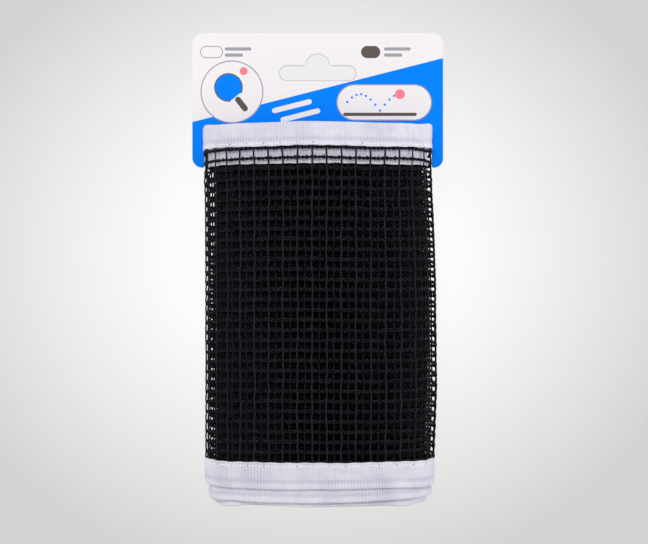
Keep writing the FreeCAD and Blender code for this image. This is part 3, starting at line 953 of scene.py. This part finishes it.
CARD_WHITE = srgb(239, 235, 236)
CARD_BLUE = srgb(0, 130, 250)
CARD_GREY = srgb(96, 86, 82)
CARD_LINE = srgb(150, 146, 168)
CARD_PINK = srgb(252, 128, 146)
CARD_SILVER = srgb(160, 158, 168)
CARD_RING_GREY = srgb(208, 204, 208)
CARD_FIBRES = srgb(232, 230, 228), srgb(246, 245, 244)
BLUE_EDGE_AT_MIDDLE = 75.7
BLUE_EDGE_SLOPE = 0.255
OUTLINE = 0.45
ROUNDEL_AT, ROUNDEL_RADIUS = (-36.6, 74.9), 13.4
BAT_TILT = -52
BLADE_RADIUS, BLADE_RIM, BLADE_BACK = 6.1, 0.5, 2.4
THROAT_AT, THROAT_HALF, THROAT_RADIUS = 5.6, 2.3, 0.6
HANDLE_AT, HANDLE_HALF, HANDLE_RADIUS = 9, 2.4, 1.25
BALL_ACROSS, BALL_BACK, BALL_RADIUS = 9.4, 1.5, 1.7
PANEL_AT, PANEL_HALF, PANEL_RADIUS = (28.4, 70.4), 12.6, 7.8
BOUNCE_AT, BOUNCE_HEIGHT, BOUNCE_LENGTH = (26.6, 66), 7, 17
LINE_HALF, LINE_RADIUS = 15, 0.7
BOUNCE_BALL_RADIUS, DOT_RADIUS, DOT_LIFT = 2.1, 0.5, 0.9
DOTS_AT = range(-14, 8, 2)
STRIPES_AT = (-11, 68.8), (-7.4, 64.9)
STRIPE_HALF, STRIPE_RADIUS, STRIPE_TILT = 7.6, 1.1, 14.3
PALE_OVAL_AT, PALE_OVAL_HALF = (-45.3, 91.9), 2.3
DARK_OVAL_AT, DARK_OVAL_HALF = (22.6, 91.9), 1.5
OVAL_RADIUS, OVAL_LINE = 2.6, 0.4
BAR_GROUPS_AT, BAR_RADIUS = (-33, 35), 0.7
# The two bars of a group: how far left, at what height and half how long
BARS = (1, 93.2, 5), (2.8, 90.6, 3.2)
# The hang slot and its bump: height, half length and radius. A thin grey ring is painted round them.
HANG_HOLE = (82.95, 13.2, 3), (85.95, 0, 5)
GREY_RING_WIDTH = 0.45

def mark(x, y, radius, ink, half_x=0, half_y=0, tilt=0):
    """One shape of the print: all within radius of a box, which is tilted by so many degrees."""
    return x, y, radius, ink, half_x, half_y, tilt

def ringed(x, y, half_length, radius):
    """A pale panel with round ends and a thin outline."""
    line = mark(x, y, radius, CARD_LINE, half_length)
    return [line, mark(x, y, radius - OUTLINE, CARD_WHITE, half_length)]

def bat_and_ball(x, y, tilt):
    """A plain bat whose handle points along tilt, and a ball over its blade."""
    along = np.array([math.cos(math.radians(tilt)), math.sin(math.radians(tilt))])
    across = np.array([-along[1], along[0]])
    blade = np.array([x, y]) - BLADE_BACK * along
    return [
        mark(*blade, BLADE_RADIUS, CARD_GREY),
        mark(*blade, BLADE_RADIUS - BLADE_RIM, CARD_BLUE),
        mark(*(blade + THROAT_AT * along), THROAT_RADIUS, CARD_WHITE, 0, THROAT_HALF, tilt),
        mark(*(blade + HANDLE_AT * along), HANDLE_RADIUS, CARD_GREY, HANDLE_HALF, 0, tilt),
        mark(*(blade + BALL_ACROSS * across - BALL_BACK * along), BALL_RADIUS, CARD_PINK),
    ]

def bouncing_ball(x, y):
    """A ball that has bounced at x, with dots for its path, over a line for the table."""
    dots = []
    for along in DOTS_AT:
        height = DOT_LIFT + BOUNCE_HEIGHT * abs(math.sin(math.pi * along / BOUNCE_LENGTH))
        dots.append(mark(x + along, y + height, DOT_RADIUS, CARD_BLUE))
    line = mark(x, y - LINE_RADIUS, LINE_RADIUS, CARD_GREY, LINE_HALF)
    top = y + DOT_LIFT + BOUNCE_HEIGHT
    return [line, *dots, mark(x + BOUNCE_LENGTH / 2, top, BOUNCE_BALL_RADIUS, CARD_PINK)]

def card_marks():
    """Shapes of the print, first the lowest."""
    marks = ringed(*ROUNDEL_AT, 0, ROUNDEL_RADIUS) + bat_and_ball(*ROUNDEL_AT, BAT_TILT)
    marks += ringed(*PANEL_AT, PANEL_HALF, PANEL_RADIUS) + bouncing_ball(*BOUNCE_AT)
    for x, y in STRIPES_AT:
        marks.append(mark(x, y, STRIPE_RADIUS, CARD_WHITE, STRIPE_HALF, tilt=STRIPE_TILT))
    marks.append(mark(*PALE_OVAL_AT, OVAL_RADIUS, CARD_SILVER, PALE_OVAL_HALF))
    marks.append(mark(*PALE_OVAL_AT, OVAL_RADIUS - OVAL_LINE, CARD_WHITE, PALE_OVAL_HALF))
    marks.append(mark(*DARK_OVAL_AT, OVAL_RADIUS, CARD_GREY, DARK_OVAL_HALF))
    for y, half, radius in HANG_HOLE:
        marks.append(mark(0, y, radius + GREY_RING_WIDTH, CARD_RING_GREY, half))
    for x in BAR_GROUPS_AT:
        for left, y, half in BARS:
            marks.append(mark(x - left, y, BAR_RADIUS, CARD_SILVER, half))
    return marks

def card_material():
    """Coated board, printed on the front, with a raw white edge and back."""
    material, tree, shader = new_material("printed_board", roughness=0.5, specular=0.04)
    where = object_place(tree)
    flat = vector("MULTIPLY", where, (1 / MM, 1 / MM, 0.0))
    at = split(flat)
    edge = scaled(at["X"], BLUE_EDGE_SLOPE, BLUE_EDGE_AT_MIDDLE)
    colour = mix(calc("LESS_THAN", at["Y"], edge), CARD_WHITE, CARD_BLUE)
    for x, y, radius, ink, half_x, half_y, tilt in card_marks():
        turned = add(tree, "VectorRotate", rotation_type="Z_AXIS")
        link(flat, turned.inputs["Vector"])
        feed(turned.inputs["Center"], (x, y, 0.0))
        feed(turned.inputs["Angle"], math.radians(-tilt))
        off = vector("ABSOLUTE", vector("SUBTRACT", turned.outputs[0], (x, y, 0.0)))
        beyond = vector("SUBTRACT", off, (half_x, half_y, 0.0))
        distance = vector("LENGTH", vector("MAXIMUM", beyond, (0.0, 0.0, 0.0)))
        colour = mix(calc("LESS_THAN", distance, radius), colour, ink)
    facing = split(add(tree, "NewGeometry").outputs["Normal"])
    front = calc("GREATER_THAN", facing["Z"], 0.5)
    board = mix(noise(where, scale=700.0, detail=4.0), *CARD_FIBRES)
    link(mix(front, board, colour), shader.inputs["Base Color"])
    bump(shader, noise(where, scale=1500.0, detail=3.0), distance=0.00002, strength=0.4)
    return material

# The object

make_netting(
    yarn_material("row_yarn", *ROW_YARN, specular=0.05),
    yarn_material("shaded_second_yarn", *SECOND_YARN_SHADED, specular=0.05),
    yarn_material("shaded_inner_yarn", *INNER_YARN_SHADED, specular=0.05),
    yarn_material("upright_yarn", *UPRIGHT_YARN, specular=0.1),
)
make_tapes(thread_material("white_thread", THREAD_WHITE))
make_sleeves(sleeve_material(), thread_material("black_thread", THREAD_BLACK))
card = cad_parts["hang_card"]
card.data.materials.clear()
card.data.materials.append(card_material())

# Stage, light and camera. The camera hangs over AXIS_X, AXIS_Y, and PIXEL is what a pixel of the
# photograph shows of the roll's front. These and the floor's sizes are in mm.

PIXEL = 0.414
PHOTO_WIDTH = 648
AXIS_X, AXIS_Y = 2.69, -1.98
CAMERA_DISTANCE = 700
SENSOR_WIDTH = 36
FRONT_Z = ROLL_HIGH[2] + CROWN
FLOOR_HALF = 2000
FLOOR_Z = -0.1
# The floor's white centre that fades to grey is a painted pool of light
FLOOR_WHITE = (1, 1, 1, 1)
FLOOR_GREY = srgb(211, 211, 209)
FLOOR_CENTRE = (-2.5, 6)
FLOOR_WHITE_TO, FLOOR_GREY_FROM = 60, 175
FLOOR_FADE_TALLER = 1.2
FLOOR_GLOW = 0.88
WORLD_STRENGTH = 0.28
# Square lamps that face the origin: name, place and side in metres, and power in watts
LAMPS = (
    ("key", (-0.1, 0.5, 0.85), 0.4, 4.7),
    ("left", (-1.1, 0, 0.45), 0.9, 6.2),
    ("right", (1.1, 0, 0.45), 0.9, 8.4),
    ("foot", (0, -1.1, 0.45), 0.9, 1.7),
)

def seen_directly(tree):
    """1 for rays that show a surface itself, and 0 for its light on other surfaces."""
    rays = add(tree, "LightPath").outputs
    seen = calc("MAXIMUM", rays["Is Camera Ray"], rays["Is Glossy Ray"])
    return calc("MAXIMUM", seen, rays["Is Transmission Ray"])

def show_blend(tree, output_type, share, first, second):
    """Makes two shaders the surface of a material or world, where share is that of the second."""
    blend = add(tree, "MixShader")
    for socket, value in zip(blend.inputs, (share, first.outputs[0], second.outputs[0])):
        link(value, socket)
    output = next(node for node in tree.nodes if node.type == output_type)
    link(blend.outputs[0], output.inputs["Surface"])

def make_floor():
    """Pale floor that glows where seen directly, brightest under the object and fading to light grey: a
    painted pool of light. It keeps a soft shadow.
    """
    half, z = FLOOR_HALF * MM, FLOOR_Z * MM
    corners = [(-half, -half, z), (half, -half, z), (half, half, z), (-half, half, z)]
    mesh = bpy.data.meshes.new("floor")
    mesh.from_pydata(corners, [], [(0, 1, 2, 3)])
    floor = new_object("floor", mesh)
    material, tree, shader = new_material("pale_floor", roughness=0.9, specular=0.0)
    centre = (FLOOR_CENTRE[0] * MM, FLOOR_CENTRE[1] * MM, 0.0)
    off = vector("SUBTRACT", object_place(tree), centre)
    away = vector("LENGTH", vector("MULTIPLY", off, (1.0, FLOOR_FADE_TALLER, 1.0)))
    fade = climb(away, FLOOR_WHITE_TO * MM, FLOOR_GREY_FROM * MM)
    colour = mix(fade, FLOOR_WHITE, FLOOR_GREY)
    glow = add(tree, "Emission")
    link(colour, shader.inputs["Base Color"])
    link(colour, glow.inputs["Color"])
    glow_share = scaled(fade, gain=1 - FLOOR_GLOW, lift=FLOOR_GLOW)
    share = times(seen_directly(tree), glow_share)
    show_blend(tree, "OUTPUT_MATERIAL", share, shader, glow)
    mesh.materials.append(material)

def make_light():
    """Even white light from all round, with a grey backdrop to look at, and four lamps."""
    world = bpy.data.worlds.new("studio")
    bpy.context.scene.world = world
    world.use_nodes = True
    tree = world.node_tree
    light = tree.nodes["Background"]
    feed(light.inputs["Color"], (1.0, 1.0, 1.0, 1.0))
    feed(light.inputs["Strength"], WORLD_STRENGTH)
    backdrop = add(tree, "Background")
    feed(backdrop.inputs["Color"], FLOOR_GREY)
    show_blend(tree, "OUTPUT_WORLD", seen_directly(tree), light, backdrop)
    for name, location, size, power in LAMPS:
        lamp = bpy.data.lights.new(name, "AREA")
        lamp.size = size
        lamp.energy = power
        holder = new_object(name, lamp)
        holder.location = location
        direction = -holder.location.normalized()
        holder.rotation_euler = direction.to_track_quat("-Z", "Y").to_euler()

def make_camera():
    """The photograph's camera, straight above the roll."""
    data = bpy.data.cameras.new("camera")
    data.sensor_width = SENSOR_WIDTH
    data.lens = SENSOR_WIDTH * CAMERA_DISTANCE / (PHOTO_WIDTH * PIXEL)
    camera = new_object("camera", data)
    camera.location = (AXIS_X * MM, AXIS_Y * MM, (FRONT_Z + CAMERA_DISTANCE) * MM)
    bpy.context.scene.camera = camera

make_floor()
make_light()
make_camera()
bpy.context.scene.view_settings.view_transform = "Standard"
